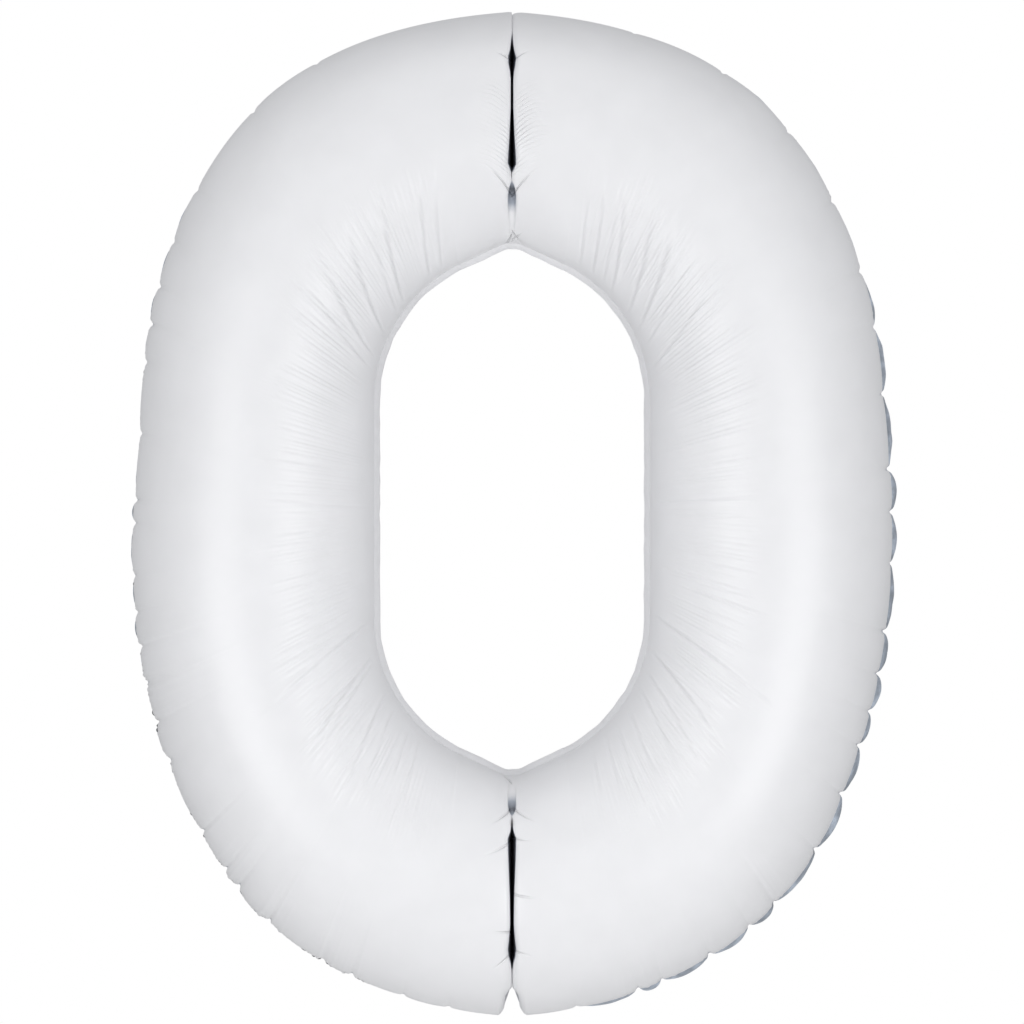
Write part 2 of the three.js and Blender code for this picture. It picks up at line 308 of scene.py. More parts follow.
def end_distances():
    """Distances from the slit at which the end of a lobe has its rows: its wall, then its lip."""
    wall = SLIT_WALL * np.linspace(0, 1, WALL_ROWS) ** 2
    lip = SLIT_WALL * (shape().lobe_end / SLIT_WALL) ** np.linspace(0, 1, LIP_ROWS)
    return np.concatenate([wall, lip[1:-1]])


def quarter_rows(power):
    """Outline point, hole point and distance from the slit for each row of one quarter."""
    near = end_distances()
    far = shape().lobe_end
    outer = np.stack([near, outline_height(near, power)], axis=1)
    hole = np.stack([near, hole_height(near)], axis=1)
    outer = np.concatenate([outer, outline_quarter(far, shape().rows, power)])
    hole = np.concatenate([hole, hole_quarter(far, shape().rows)])
    return outer, hole, outer[:, 0].copy()


def lobe_rows():
    """The same for a whole lobe, from the slit at the top round to the slit at the bottom."""
    upper = quarter_rows(shape().top_power)
    lower = quarter_rows(shape().bottom_power)
    down = np.array([1, -1])
    outer = np.concatenate([upper[0], (lower[0] * down)[:-1][::-1]])
    hole = np.concatenate([upper[1], (lower[1] * down)[:-1][::-1]])
    hole[:, 1] += HOLE_RISE
    return outer, hole, np.concatenate([upper[2], lower[2][:-1][::-1]])


# ---------------------------------------------------------------- the slits between the lobes

# Along each slit, from the outline towards the hole, in millimetres: distance, half the gap, and
# how far behind the crest the lobes meet. The last value is how much painted shade the film inside gets.
TOP_SLIT = (
    (0, 0.15, 4, 0), (23, 0.1, 4, 0), (29, 0.2, 20, 0.5), (36, 0.5, 90, 1), (46, 3.1, 100, 1),
    (55, 1.1, 100, 1), (63, 0.3, 100, 1), (88, 0.3, 100, 1), (112, 1.3, 100, 1), (134, 2.8, 100, 1),
    (138, 2.2, 90, 1), (142, 0.1, 4, 0), (151, 0.1, 4, 0.1), (155, 2.2, 13, 0.9), (162, 3.2, 12, 0.5),
    (174, 3.0, 9, 0.2), (184, 2.4, 4, 0), (200, 2.0, 2, 0),
)
BOTTOM_SLIT = (
    (0, 6.6, 60, 0.2), (12, 6.2, 60, 0.2), (21, 5.0, 60, 0.2), (25, 2.8, 50, 0.4), (28, 0.4, 20, 0.4),
    (33, 0.1, 4, 0), (48, 0.1, 4, 0.1), (53, 0.6, 90, 1), (60, 3.1, 100, 1), (67, 2.2, 100, 1),
    (83, 0.7, 100, 1), (111, 1.1, 100, 1), (138, 2.2, 100, 1), (156, 2.8, 100, 1), (161, 0.9, 60, 1),
    (165, 0.1, 4, 0), (174, 0.1, 4, 0.1), (178, 2.5, 13, 0.9), (184, 3.4, 12, 0.55), (196, 3.2, 9, 0.2),
    (205, 2.6, 4, 0), (216, 2.0, 2, 0),
)
SLIT_WALL = 0.9 * MM
GAP_REACH = 10 * MM
LIP_EASE = 2.4 * MM
LIP_EASE_REACH = 9 * MM
TOUCH_START, TOUCH_END = 8 * MM, 24 * MM
# Painted shade in the slits grows from nothing to full between these depths behind the crest.
SHADE_START, SHADE_END = 4.5 * MM, 8.5 * MM
NOTCH_FADE = 4 * MM
NOTCH = {"top": 2.2 * MM, "bottom": 28 * MM}
CORNER = {
    ("left", "top"): (0.8 * MM, 3 * MM), ("right", "top"): (3.2 * MM, 10 * MM),
    ("left", "bottom"): (10 * MM, 11 * MM), ("right", "bottom"): (11 * MM, 13 * MM),
}

# Where the sides are drawn in, or bulge out: height above the centre, how far in, and over what length.
WAISTS = {
    "left": ((75 * MM, 5.5 * MM, 85 * MM),),
    "right": ((85 * MM, 3.5 * MM, 80 * MM), (-290 * MM, -4 * MM, 50 * MM)),
}


def slit_profile(z):
    """Half the gap, the depth of its floor and its painted shade at a height above the centre."""
    upper = z > 0
    distance = np.where(upper, HALF_HEIGHT - z, HALF_HEIGHT + z) / MM
    top = np.array(TOP_SLIT, float).T
    bottom = np.array(BOTTOM_SLIT, float).T
    gap, floor, painted_shade = (
        np.where(upper, np.interp(distance, top[0], top[k]), np.interp(distance, bottom[0], bottom[k]))
        for k in (1, 2, 3))
    return gap * MM, floor * MM, painted_shade


def past_notch(z):
    """0 in the notches at the ends of the slits, where the lobes stand apart, and 1 further in."""
    top = HALF_HEIGHT - NOTCH["top"] - z
    bottom = HALF_HEIGHT - NOTCH["bottom"] + z
    return smooth(0, NOTCH_FADE, np.where(z > 0, top, bottom))


def opening(gap, distance):
    """How far a slit's gap pushes the film sideways at a distance from it."""
    return gap * np.exp(-(distance / GAP_REACH) ** 2)


def slit_drop(distance, floor):
    """How far behind the crest the film lies at a distance from the slit's wall."""
    radius = shape().lip_radius
    turn = np.clip(1 - distance / radius, 0, 1)
    lip = radius * (1 - np.sqrt(1 - turn ** 2)) + LIP_EASE * np.exp(-distance / LIP_EASE_REACH)
    edge = radius + LIP_EASE
    wall = np.sqrt(1 - (1 - np.clip(distance / SLIT_WALL, 0, 1)) ** 2)
    return np.minimum(floor / edge, 1) * lip + np.maximum(floor - edge, 0) * (1 - wall)


def shaped_outline(outer, distance, lobe):
    """Draws in a lobe's waist and rounds its corners where the slit meets the outline."""
    outer = outer.copy()
    for height, inset, length in WAISTS[lobe]:
        outer[:, 0] -= inset * np.exp(-((outer[:, 1] - height) / length) ** 2)
    for end, sign in (("top", 1), ("bottom", -1)):
        drop, reach = CORNER[lobe, end]
        near = (outer[:, 1] * sign > 0) & (distance < reach)
        share = 1 - distance[near] / reach
        outer[near, 1] -= sign * drop * (1 - np.sqrt(1 - share ** 2))
    return outer


# ---------------------------------------------------------------- wrinkles

SEEDS = {"left": 21, "right": 47}
TUCK_WIDTH = 1.9 * MM
TUCK_DEPTH = 0.9
TUCK_REACH = 14 * MM, 34 * MM
PUCKER_REACH = 34 * MM
# Painted shade in the tucks fades out between these distances in from the outer seam.
TUCK_SHADE_START, TUCK_SHADE_END = 14 * MM, 30 * MM
EDGE_WRINKLE_PITCH = 4.6 * MM
BESIDE_TUCK = 16 * MM
CREASE_WIDTH = 1.25 * MM
CREASE_LIP_OFFSET = 2.6 * MM
CREASE_LIP_WIDTH = 2.2 * MM

# Where the outer seam gathers the films into tucks, from the top of each lobe, 0, to its bottom, 1.
TUCKS = {
    "left": (0.143, 0.199, 0.267, 0.307, 0.340, 0.367, 0.394, 0.444, 0.491, 0.507, 0.544, 0.570, 0.594,
             0.620, 0.648, 0.676, 0.731, 0.762, 0.777, 0.810, 0.856, 0.879, 0.918, 0.951),
    "right": (0.088, 0.156, 0.218, 0.276, 0.329, 0.369, 0.416, 0.469, 0.499, 0.535, 0.583, 0.613, 0.640,
              0.665, 0.701, 0.744, 0.791, 0.815, 0.849, 0.887, 0.905, 0.950),
}

# How strongly the seam gathers the film, and how far back the margin beyond it is folded in
# degrees, at places from the top of a lobe to its bottom.
GATHER_PLACES = (0.0, 0.12, 0.2, 0.36, 0.5, 0.62, 0.8, 0.92, 1.0)
GATHERS = {
    "left": (0.0, 0.25, 0.45, 0.55, 0.6, 1.0, 1.0, 0.6, 0.0),
    "right": (0.0, 0.35, 0.45, 0.5, 0.6, 0.6, 0.75, 0.7, 0.0),
}
LEAN_PLACES = (0.0, 0.26, 0.30, 0.37, 0.42, 0.5, 0.58, 0.64, 0.9, 1.0)
LEANS = {
    "left": (100, 92, 84, 86, 94, 82, 82, 96, 100, 104),
    "right": (100, 96, 92, 58, 54, 52, 50, 54, 54, 100),
}

# Long creases that fan out from the hole: how far round the hole from the top to the bottom,
# how deep, the angle round the tube that they reach, and how far they lean in millimetres.
CREASES = {
    "left": (
        (0.112, 0.5, 84, 6), (0.134, 0.8, 84, 8), (0.188, 1.0, 88, 12), (0.205, 0.45, 80, 12),
        (0.242, 1.0, 90, 15), (0.281, 0.9, 92, 14), (0.299, 0.6, 88, 10), (0.497, 0.35, 88, 3),
        (0.664, 0.8, 100, -4), (0.712, 0.7, 92, -9), (0.722, 0.5, 92, -10), (0.768, 0.8, 80, -10),
        (0.792, 0.5, 76, -9), (0.828, 0.4, 72, -6), (0.850, 0.35, 70, -4),
    ),
    "right": (
        (0.108, 0.6, 74, 4), (0.130, 0.7, 82, 6), (0.150, 0.4, 80, 8), (0.168, 0.9, 88, 12),
        (0.208, 1.0, 90, 14), (0.236, 0.9, 94, 14), (0.262, 0.4, 88, 12), (0.296, 0.6, 88, 10),
        (0.490, 0.3, 88, 2), (0.655, 0.8, 104, -3), (0.706, 0.9, 98, -8), (0.736, 0.7, 88, -9),
        (0.762, 0.6, 80, -9), (0.795, 0.5, 76, -8), (0.823, 0.45, 72, -6), (0.846, 0.4, 70, -5),
        (0.872, 0.35, 66, -4),
    ),
}


def tucks(run, places, seed, width):
    """Sharp notches at breaks, each of its own depth and reach inwards."""
    random = np.random.default_rng(seed)
    depth = np.zeros_like(run)
    reach = np.full_like(run, TUCK_REACH[1])
    depths = random.uniform(0.45, 1.0, len(places))
    lengths = random.uniform(*TUCK_REACH, len(places))
    for place, strength, length in zip(places[1:-1], depths, lengths):
        here = strength * np.exp(-((run - place) / width) ** 2)
        reach = np.where(here > depth, length, reach)
        depth = np.maximum(depth, here)
    return depth, reach


def gather_strength(run, lobe):
    return np.interp(run / run[-1], GATHER_PLACES, GATHERS[lobe])


def edge_gather(run, lobe):
    """Swellings and tucks along the outer seam, which both films and the margin share."""
    places = run[-1] * np.array((0.0, *TUCKS[lobe], 1.0))
    strength = gather_strength(run, lobe)
    swelling = pillows(run, places, SEEDS[lobe] + 1, 0.4, 1.0, 2.4) * strength
    depth, reach = tucks(run, places, SEEDS[lobe] + 2, TUCK_WIDTH)
    return swelling, depth * np.minimum(strength * 1.5, 1), reach, places


def edge_wrinkles(run, theta, places, seed):
    """Fine wrinkles that run in from the outer seam, beside its tucks."""
    fine = pillows(run, breaks(run[-1], EDGE_WRINKLE_PITCH, seed), seed + 1, 0.0, 1.0, 1.8)
    gaps = np.abs(run[:, None] - places[None, 1:-1])
    weights = np.random.default_rng(seed + 2).uniform(0.2, 1.0, len(places) - 2)
    beside = (weights[None, :] * np.exp(-(gaps / BESIDE_TUCK) ** 2)).max(axis=1)
    reach = MM * (42 + 20 * wander(run, 240, seed + 3))
    inward = (theta * DEPTH)[None, :]
    return (fine * beside)[:, None] * np.exp(-inward / reach[:, None])


def swell_field(run, theta, seed):
    """Broad unevenness, as a few slow waves along and across the tube."""
    random = np.random.default_rng(seed)
    waves = 6
    field = np.zeros((len(run), len(theta)))
    for _ in range(waves):
        length = random.uniform(0.10, 0.34)
        phase = random.uniform(0, 2 * math.pi, 2)
        along = np.sin(2 * math.pi * run / length + phase[0])[:, None]
        across = np.cos(theta * random.uniform(1.0, 3.2) + phase[1])[None, :]
        field += along * across / waves
    return field * np.sin(theta)[None, :]


def crease_field(run, theta, lobe, mirrored):
    """Each crease is a fine valley with a raised lip on one side."""
    rise = np.degrees(math.pi - theta)[None, :]
    field = np.zeros((len(run), len(theta)))
    for place, strength, end, lean in CREASES[lobe]:
        if mirrored:
            place, lean = 1 - place, -lean
        centre = place * run[-1] - MM * lean * (rise / 60) ** 2
        offset = run[:, None] - centre
        fade = smooth(14, 34, rise) * (1 - smooth(end - 26, end, rise))
        valley = np.exp(-(offset / CREASE_WIDTH) ** 2)
        beside = offset - math.copysign(CREASE_LIP_OFFSET, lean)
        lip = np.exp(-(beside / CREASE_LIP_WIDTH) ** 2)
        field += strength * fade * (0.55 * lip - valley)
    return field


def ripple_field(run, theta, seed):
    """Fine ripples square to the hole, strongest just inside the crest of the tube."""
    rise = np.degrees(math.pi - theta)[None, :]
    share = (run / run[-1])[:, None]
    places = breaks(run[-1], wrinkles().ripple_pitch, seed)
    fine = pillows(run, places, seed + 1, 0.25, 1.5, 1.8)[:, None]
    reach = 7 * wander(run, 90, seed + 2)[:, None]
    band = smooth(26, 56, rise + reach) * (1 - smooth(72, 85, rise + reach))
    middle = 1 - 0.62 * np.exp(-((share - 0.49) / 0.10) ** 2)
    ends = smooth(0.05, 0.16, share) * (1 - smooth(0.84, 0.95, share))
    return fine * band * middle * ends


# ---------------------------------------------------------------- the films

def column_angles():
    """Angles round the tube from the outline, 0, to the hole, pi, closer together at both seams."""
    crowding = 0.45
    share = np.linspace(0, 1, shape().columns)
    return math.pi * (share - crowding * np.sin(2 * math.pi * share) / (2 * math.pi))


def normals_of(points):
    along = np.gradient(points, axis=0)
    across = np.gradient(points, axis=1)
    normal = np.cross(across, along)
    length = np.linalg.norm(normal, axis=2, keepdims=True)
    return normal / np.maximum(length, 1e-12)


def painted_shade_mask(gap_shade, drop, full):
    """How much painted shade the film gets in a slit, from how far it lies behind the crest."""
    return gap_shade * smooth(SHADE_START, SHADE_END, drop * full / DEPTH)


def wrinkle_heights(outer_run, crest_run, hole_run, theta, away, lobe, face):
    """How far each point of the film is lifted, and the painted shade in the tucks."""
    seed = SEEDS[lobe] + (0 if face == FRONT else 100)
    settings = wrinkles()
    swelling, tuck, tuck_reach, places = edge_gather(outer_run, lobe)
    inward = (theta * DEPTH)[None, :]
    strength = gather_strength(outer_run, lobe)[:, None] ** 2
    lift = settings.pucker_height * swelling[:, None] * np.exp(-inward / PUCKER_REACH)
    sunk = TUCK_DEPTH * settings.pucker_height * tuck
    lift -= sunk[:, None] * np.exp(-inward / tuck_reach[:, None])
    lift += settings.edge_height * strength * edge_wrinkles(outer_run, theta, places, seed + 13)
    lift += settings.swell * swell_field(outer_run, theta, seed + 3) * smooth(0, 0.03, away)
    lift += settings.ripple_height * ripple_field(crest_run, theta, seed + 5)
    lift += settings.crease_depth * crease_field(hole_run, theta, lobe, face == BACK)
    # Painted shade in the tucks of the outer seam, fading out inwards.
    tuck_shade = smooth(0.5, 0.85, tuck)[:, None] * (1 - smooth(TUCK_SHADE_START, TUCK_SHADE_END, inward))
    return lift, 0.6 * tuck_shade


def lobe_surface(lobe, face):
    """Points of one lobe's film, rows from the top slit to the bottom one, and the painted shade of
    each.
    """
    outer, hole, distance = lobe_rows()
    outer = shaped_outline(outer, distance, lobe)
    theta = column_angles()
    middle = (outer + hole) / 2
    reach = (outer - hole) / 2
    plan = middle[:, None, :] + reach[:, None, :] * np.cos(theta)[None, :, None]
    full = DEPTH * np.sin(theta)[None, :]
    gap, floor, gap_shade = slit_profile(plan[:, :, 1])
    away = distance[:, None]
    drop = slit_drop(away, floor)
    depth = full * (1 - drop / DEPTH)
    touching = smooth(TOUCH_START, TOUCH_END, drop) * past_notch(plan[:, :, 1])
    x = plan[:, :, 0] + opening(gap, away) * (1 - touching)
    points = np.stack([x, -depth, plan[:, :, 1]], axis=2)
    runs = run_along(outer), run_along(middle), run_along(hole)
    lift, tuck_shade = wrinkle_heights(*runs, theta, away, lobe, face)
    points += lift[:, :, None] * normals_of(points)
    if lobe == "left":
        points[:, :, 0] *= -1
    return points, np.maximum(painted_shade_mask(gap_shade, drop, full), tuck_shade)


def web_rows():
    """The film between the lobes: one row across the top of the tube and one across the bottom."""
    theta = column_angles()
    full = DEPTH * np.sin(theta)
    webs = []
    for end, sign in (("top", 1), ("bottom", -1)):
        outer_z = sign * (HALF_HEIGHT - NOTCH[end])
        hole_z = sign * hole_height(0.0) + HOLE_RISE
        z = (outer_z + hole_z) / 2 + (outer_z - hole_z) / 2 * np.cos(theta)
        _, floor, gap_shade = slit_profile(z)
        depth = np.maximum(full * (1 - floor / DEPTH), 0)
        points = np.stack([np.zeros_like(z), -depth, z], axis=1)
        webs.append((points[None], painted_shade_mask(gap_shade, floor, full)[None]))
    return webs


def film_mesh(name, face):
    right, right_shade = lobe_surface("right", face)
    left, left_shade = lobe_surface("left", face)
    (top_web, top_shade), (bottom_web, bottom_shade) = web_rows()
    points = np.concatenate([right, bottom_web, left[::-1], top_web])
    painted_shade = np.concatenate([right_shade, bottom_shade, left_shade[::-1], top_shade])
    points[:, :, 1] = -face * np.minimum(points[:, :, 1], -0.15 * MM)
    points[:, :, 2] += CENTRE_Z
    return grid_object(name, points, ring=True, flip=face == BACK, painted_shade=painted_shade)


def grid_object(name, points, ring=False, flip=False, painted_shade=None):
    """A mesh object from rows and columns of points; a ring's last row meets its first."""
    rows, columns, _ = points.shape
    spans = rows if ring else rows - 1
    step = np.arange(columns - 1)[None, :]
    here = np.arange(spans)[:, None] * columns + step
    after = ((np.arange(spans) + 1) % rows)[:, None] * columns + step
    quads = np.stack([here, here + 1, after + 1, after], axis=2).reshape(-1, 4)
    if flip:
        quads = quads[:, ::-1]
    mesh = bpy.data.meshes.new(name)
    mesh.vertices.add(rows * columns)
    mesh.vertices.foreach_set("co", points.reshape(-1).astype(np.float32))
    mesh.loops.add(quads.size)
    mesh.loops.foreach_set("vertex_index", quads.reshape(-1).astype(np.int32))
    mesh.polygons.add(len(quads))
    mesh.polygons.foreach_set("loop_start", np.arange(0, quads.size, 4, dtype=np.int32))
    mesh.polygons.foreach_set("use_smooth", np.ones(len(quads), dtype=bool))
    mesh.update(calc_edges=True)
    # The painted shade of each point, which the film's material darkens by.
    if painted_shade is not None:
        layer = mesh.attributes.new("painted_shade", "FLOAT", "POINT")
        layer.data.foreach_set("value", painted_shade.reshape(-1).astype(np.float32))
    thing = bpy.data.objects.new(name, mesh)
    bpy.context.scene.collection.objects.link(thing)
    return thing


# ---------------------------------------------------------------- the welded margins

MARGIN_STEPS = 5
OUTER_MARGIN = 8 * MM
HOLE_MARGIN = 7.5 * MM
OUTER_CURL = 0.7
HOLE_CURL = 0.6
HOLE_LEAN = 48


def margin_strip(edge, outward, lean, width, curl, lobe):
    """A strip that stands off an edge, leans back by an angle for each point, and curls."""
    steps = MARGIN_STEPS
    strips = []
    place = edge
    rear = np.zeros(len(edge))
    for step in range(steps + 1):
        strips.append(np.stack([place[:, 0], rear, place[:, 1]], axis=1))
        angle = lean + curl * ((step + 0.5) / steps - 0.5)
        place = place + outward * (width / steps * np.cos(angle))[:, None]
        rear = rear + width / steps * np.sin(angle)
    points = np.stack(strips, axis=1)
    points[:, :, 0] = np.maximum(points[:, :, 0], 0)
    if lobe == "left":
        points[:, :, 0] *= -1
    points[:, :, 2] += CENTRE_Z
    return points


def outer_margin_points(lobe):
    outer, _, distance = lobe_rows()
    outer = shaped_outline(outer, distance, lobe)
    run = run_along(outer)
    swelling, tuck, _, places = edge_gather(run, lobe)
    tangent = unit(np.gradient(outer, axis=0))
    outward = np.stack([-tangent[:, 1], tangent[:, 0]], axis=1)
    edge = outer + outward * (wrinkles().pucker_height * (swelling - TUCK_DEPTH * tuck))[:, None]
    gap, _, _ = slit_profile(outer[:, 1])
    edge[:, 0] += opening(gap, distance)
    rolls = pillows(run, places, SEEDS[lobe] + 9, 0.6, 1.0, 2.0)
    folded = np.interp(run / run[-1], LEAN_PLACES, LEANS[lobe])
    lean = np.radians(folded + 30 - 34 * rolls + 4 * wander(run, 150, SEEDS[lobe] + 11))
    return margin_strip(edge, outward, np.maximum(lean, 0.6), OUTER_MARGIN, OUTER_CURL, lobe)


def hole_margin_points(lobe):
    _, hole, distance = lobe_rows()
    run = run_along(hole)
    tangent = unit(np.gradient(hole, axis=0))
    inward = np.stack([tangent[:, 1], -tangent[:, 0]], axis=1)
    inward[distance < 2 * MM, 0] = 0
    gap, _, _ = slit_profile(hole[:, 1])
    hole[:, 0] += opening(gap, distance)
    lean = np.radians(HOLE_LEAN + 5 * wander(run, 60, SEEDS[lobe] + 31))
    return margin_strip(hole, inward, lean, HOLE_MARGIN, HOLE_CURL, lobe)


def margin_web(row, rise):
    """The row of a margin at the slit, level with its neighbour or lifted into a notch."""
    web = row.copy()
    web[:, 0] = 0
    web[:, 2] += rise
    return web[None]


def join_lobes(name, maker, notches, flip):
    """One ring-shaped strip from the two lobes' strips, which meet at the slits."""
    right = maker("right")
    left = maker("left")[::-1]
    top = margin_web(right[0], -notches[0])
    bottom = margin_web(right[-1], notches[1])
    return grid_object(name, np.concatenate([right, bottom, left, top]), ring=True, flip=flip)


# ---------------------------------------------------------------- small pieces

RIB_HEIGHT = 0.2 * MM
RIB_PITCH = 2.4 * MM
PLY_GAP = 0.15 * MM
TAIL_CLEARANCE = 6 * MM
TAB_HALF_WIDTH = 12 * MM
TAB_LENGTH = 28 * MM
TAB_HOLE_RADIUS = 4 * MM
TAB_HOLE_HEIGHT = TAB_LENGTH - 9 * MM
TAB_ROOT_DROP = 3.2 * MM
TAB_LEAN = math.radians(10)


def weld_strip(name, low, high):
    """The two films sealed together across the tube, with the ribs of the welding jaws."""
    half = TOP_WELD_HIGH.x
    z = np.linspace(low, high, 180)
    x = np.linspace(-half, half, 7)
    points = np.zeros((len(z), len(x), 3))
    points[:, :, 0] = x[None, :]
    ribs = RIB_HEIGHT * np.sin(2 * math.pi * z / RIB_PITCH)
    points[:, :, 1] = ribs[:, None] * (1 - (x / half) ** 2)
    points[:, :, 2] = z[:, None]
    return grid_object(name, points)


def valve_ply(name, node, side):
    """One ply of the valve, slack between its two sealed edges."""
    low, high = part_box(node)
    z = np.linspace(low.z, high.z, 60)
    across = np.linspace(-1, 1, 17)
    slack = (1 - across ** 2)[None, :] * (0.3 + 0.2 * np.sin(z / 0.009))[:, None]
    points = np.zeros((len(z), len(across), 3))
    points[:, :, 0] = ((low.x + high.x) / 2 + (high.x - low.x) / 2 * across)[None, :]
    points[:, :, 1] = side * (PLY_GAP + slack * 0.9 * MM)
    points[:, :, 2] = z[:, None]
    return grid_object(name, points, flip=side > 0)


def tail_relief(along, side, layer):
    """How far a ply of the tail stands out: crinkled along its middle, ribbed at its sealed edges."""
    channel = 1 - np.minimum(np.abs(side) / 0.72, 1) ** 4
    phase = np.random.default_rng(90 + layer).uniform(0, 2 * math.pi, 6)
    crinkle = sum(
        np.sin(side * (3 + 2 * k) + along * (9 + 5 * k) + phase[k]) / (k + 1.5) for k in range(6))
    seal = np.where(np.abs(side) > 0.78, 0.10 * np.sin(120 * along), 0)
    return MM * (0.28 * crinkle * channel + 0.35 * channel * layer + seal)


def tail_ply(name, node, layer):
    """A ply of the filling tail: a limp strip folded up behind, in an arc that fills its node."""
    low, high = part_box(node)
    half = (high.x - low.x) / 2
    middle = (high.x + low.x) / 2
    reach = high.y - low.y
    rise = high.z - low.z
    radius = (reach ** 2 + rise ** 2) / (2 * rise)
    turn = math.asin(min(reach / radius, 1))
    along = np.linspace(0, 1, 70)[:, None]
    side = np.linspace(-1, 1, 34)[None, :]
    r = radius + tail_relief(along, side, layer) - 0.3 * MM
    angle = turn * along + 0 * side
    x = middle + half * side * (1 - 0.10 * smooth(0.0, 0.25, along))
    z = low.z + TAIL_CLEARANCE + radius - r * np.cos(angle)
    points = np.stack([x, low.y + r * np.sin(angle), z], axis=2)
    return grid_object(name, points, flip=layer == 1)


def tab_axes(joint):
    """The middle of a tab's root, and the directions across it, out along it and square to it."""
    across = Vector(joint["axis"]).normalized()
    upward = across.cross(Vector((0, 1, 0))).normalized()
    outward = Vector((0, 1, 0)) * math.cos(TAB_LEAN) - upward * math.sin(TAB_LEAN)
    lift = outward.cross(across).normalized()
    return Vector(joint["pos_m"]) - upward * TAB_ROOT_DROP, across, outward, lift


def tab_reach(angle):
    """How far the tab's outline is from the middle of its hole in one direction."""
    reach = np.linspace(TAB_HOLE_RADIUS, 0.035, 600)
    x = reach * math.cos(angle)
    y = TAB_HOLE_HEIGHT + reach * math.sin(angle)
    shoulder_y = TAB_LENGTH - TAB_HALF_WIDTH
    in_end = np.hypot(x, y - shoulder_y) <= TAB_HALF_WIDTH
    inside = (np.abs(x) <= TAB_HALF_WIDTH) & (y >= 0) & ((y <= shoulder_y) | in_end)
    return reach[inside][-1]


def tab_relief(share, u, v):
    """A slight wave and the curl of the tab's end, less the bands pressed at the hole and outline."""
    wave = 0.35 * MM * math.sin(u / 0.0045) * math.sin(v / 0.006)
    curl = 1.4 * MM * (v / TAB_LENGTH) ** 2
    seal = 0.18 * MM * (smooth(0.80, 0.86, share) - smooth(0, 0.12, share))
    return wave + curl - seal


def tab_mesh(name, joint_name):
    """A hanging tab: a rounded flap with a punched hole, in rings from the hole to its outline."""
    joint = next(j for j in frame["joints"] if j["name"] == joint_name)
    root, across, outward, lift = tab_axes(joint)
    spokes = []
    for angle in np.linspace(0, 2 * math.pi, 96, endpoint=False):
        far = tab_reach(angle)
        spoke = []
        for share in np.linspace(0, 1, 12):
            reach = TAB_HOLE_RADIUS + (far - TAB_HOLE_RADIUS) * share
            u = reach * math.cos(angle)
            v = TAB_HOLE_HEIGHT + reach * math.sin(angle)
            spoke.append(root + across * u + outward * v + lift * tab_relief(share, u, v))
        spokes.append(spoke)
    return grid_object(name, np.array(spokes), ring=True)


# ---------------------------------------------------------------- shader helpers

def group_tree(name, inputs, outputs):
    """A new shader node group, or None when it is there already."""
    if name in bpy.data.node_groups:
        return None
    group = bpy.data.node_groups.new(name, "ShaderNodeTree")
    for label, default in inputs:
        socket = group.interface.new_socket(name=label, in_out="INPUT", socket_type="NodeSocketFloat")
        socket.default_value = default
    for label in outputs:
        group.interface.new_socket(name=label, in_out="OUTPUT", socket_type="NodeSocketFloat")
    group.nodes.new("NodeGroupInput")
    group.nodes.new("NodeGroupOutput")
    return group


def calculate(tree, operation, *values):
    """A Math node fed by sockets and numbers."""
    node = tree.nodes.new("ShaderNodeMath")
    node.operation = operation
    for place, value in enumerate(values):
        if isinstance(value, (int, float)):
            node.inputs[place].default_value = value
        else:
            tree.links.new(value, node.inputs[place])
    return node.outputs[0]


def product(tree, first, *others):
    """Math nodes that multiply sockets and numbers."""
    total = first
    for value in others:
        total = calculate(tree, "MULTIPLY", total, value)
    return total


def fade_out(tree, value, start, end):
    """1 up to the start, falling smoothly to 0 at the end."""
    node = tree.nodes.new("ShaderNodeMapRange")
    node.interpolation_type = "SMOOTHSTEP"
    node.inputs["To Min"].default_value = 1
    node.inputs["To Max"].default_value = 0
    tree.links.new(value, node.inputs["Value"])
    for label, limit in (("From Min", start), ("From Max", end)):
        if isinstance(limit, (int, float)):
            node.inputs[label].default_value = limit
        else:
            tree.links.new(limit, node.inputs[label])
    return node.outputs["Result"]


def noise(tree, scale, detail):
    node = tree.nodes.new("ShaderNodeTexNoise")
    node.inputs["Detail"].default_value = detail
    coordinates = tree.nodes.new("ShaderNodeTexCoord")
    tree.links.new(coordinates.outputs["Object"], node.inputs["Vector"])
    if isinstance(scale, (int, float)):
        node.inputs["Scale"].default_value = scale
    else:
        tree.links.new(scale, node.inputs["Scale"])
    return node.outputs["Fac"]


def place_of(tree):
    """The X and Z of the point that is shaded."""
    coordinates = tree.nodes.new("ShaderNodeTexCoord")
    parts = tree.nodes.new("ShaderNodeSeparateXYZ")
    tree.links.new(coordinates.outputs["Object"], parts.inputs["Vector"])
    return parts.outputs["X"], parts.outputs["Z"]


def add_group(tree, maker, **values):
    node = tree.nodes.new("ShaderNodeGroup")
    node.node_tree = maker()
    for label, value in values.items():
        node.inputs[label.replace("_", " ")].default_value = value
    return node


def bump_from(tree, height, distance, strength, before=None):
    bump = tree.nodes.new("ShaderNodeBump")
    bump.inputs["Distance"].default_value = distance
    bump.inputs["Strength"].default_value = strength
    tree.links.new(height, bump.inputs["Height"])
    if before:
        tree.links.new(before, bump.inputs["Normal"])
    return bump.outputs["Normal"]


def colour_ramp(tree, source, stops):
    node = tree.nodes.new("ShaderNodeValToRGB")
    for element, (place, colour) in zip(list(node.color_ramp.elements), (stops[0], stops[-1])):
        element.position = place
        element.color = (*colour, 1)
    for place, colour in stops[1:-1]:
        node.color_ramp.elements.new(place).color = (*colour, 1)
    tree.links.new(source, node.inputs["Fac"])
    return node.outputs["Color"]


def value_range(tree, source, low, high):
    span = tree.nodes.new("ShaderNodeMapRange")
    span.inputs["From Min"].default_value = 0.3
    span.inputs["From Max"].default_value = 0.7
    span.inputs["To Min"].default_value = low
    span.inputs["To Max"].default_value = high
    tree.links.new(source, span.inputs["Value"])
    return span.outputs["Result"]


# ---------------------------------------------------------------- shader node groups

